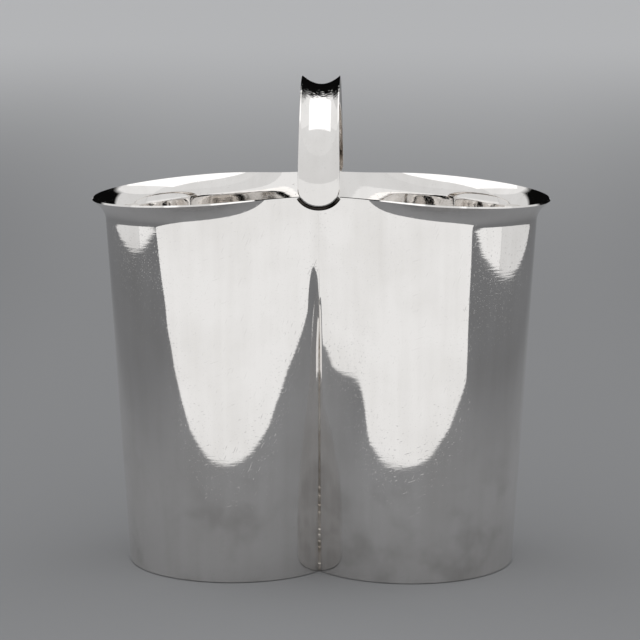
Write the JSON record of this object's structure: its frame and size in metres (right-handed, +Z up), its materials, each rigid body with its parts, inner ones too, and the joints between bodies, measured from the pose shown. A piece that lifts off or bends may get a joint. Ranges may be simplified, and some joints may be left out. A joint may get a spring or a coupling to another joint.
{
  "type": "double champagne cooler",
  "caption": "Polished silver double wine cooler: two joined round lobes with a flared lip, crisp seams at the waist, a flat base and a fixed hoop handle.",
  "frame": {"origin": "on the supporting surface, under the middle of the base plate", "axes": "+Z up, X across the two lobes, -Y the front with its seam and the front foot of the handle"},
  "size_m": [0.2724, 0.151, 0.2923],
  "materials": {
    "polished_silver": "hand-polished sterling silver with fine scratches",
    "silver_solder": "silver solder, slightly tarnished"
  },
  "bodies": {
    "root": {"left_wall": "polished_silver", "right_wall": "polished_silver", "base_plate": "polished_silver", "handle": "polished_silver", "front_seam": "silver_solder", "back_seam": "silver_solder", "front_foot_solder": "silver_solder", "back_foot_solder": "silver_solder"}
  },
  "joints": []
}
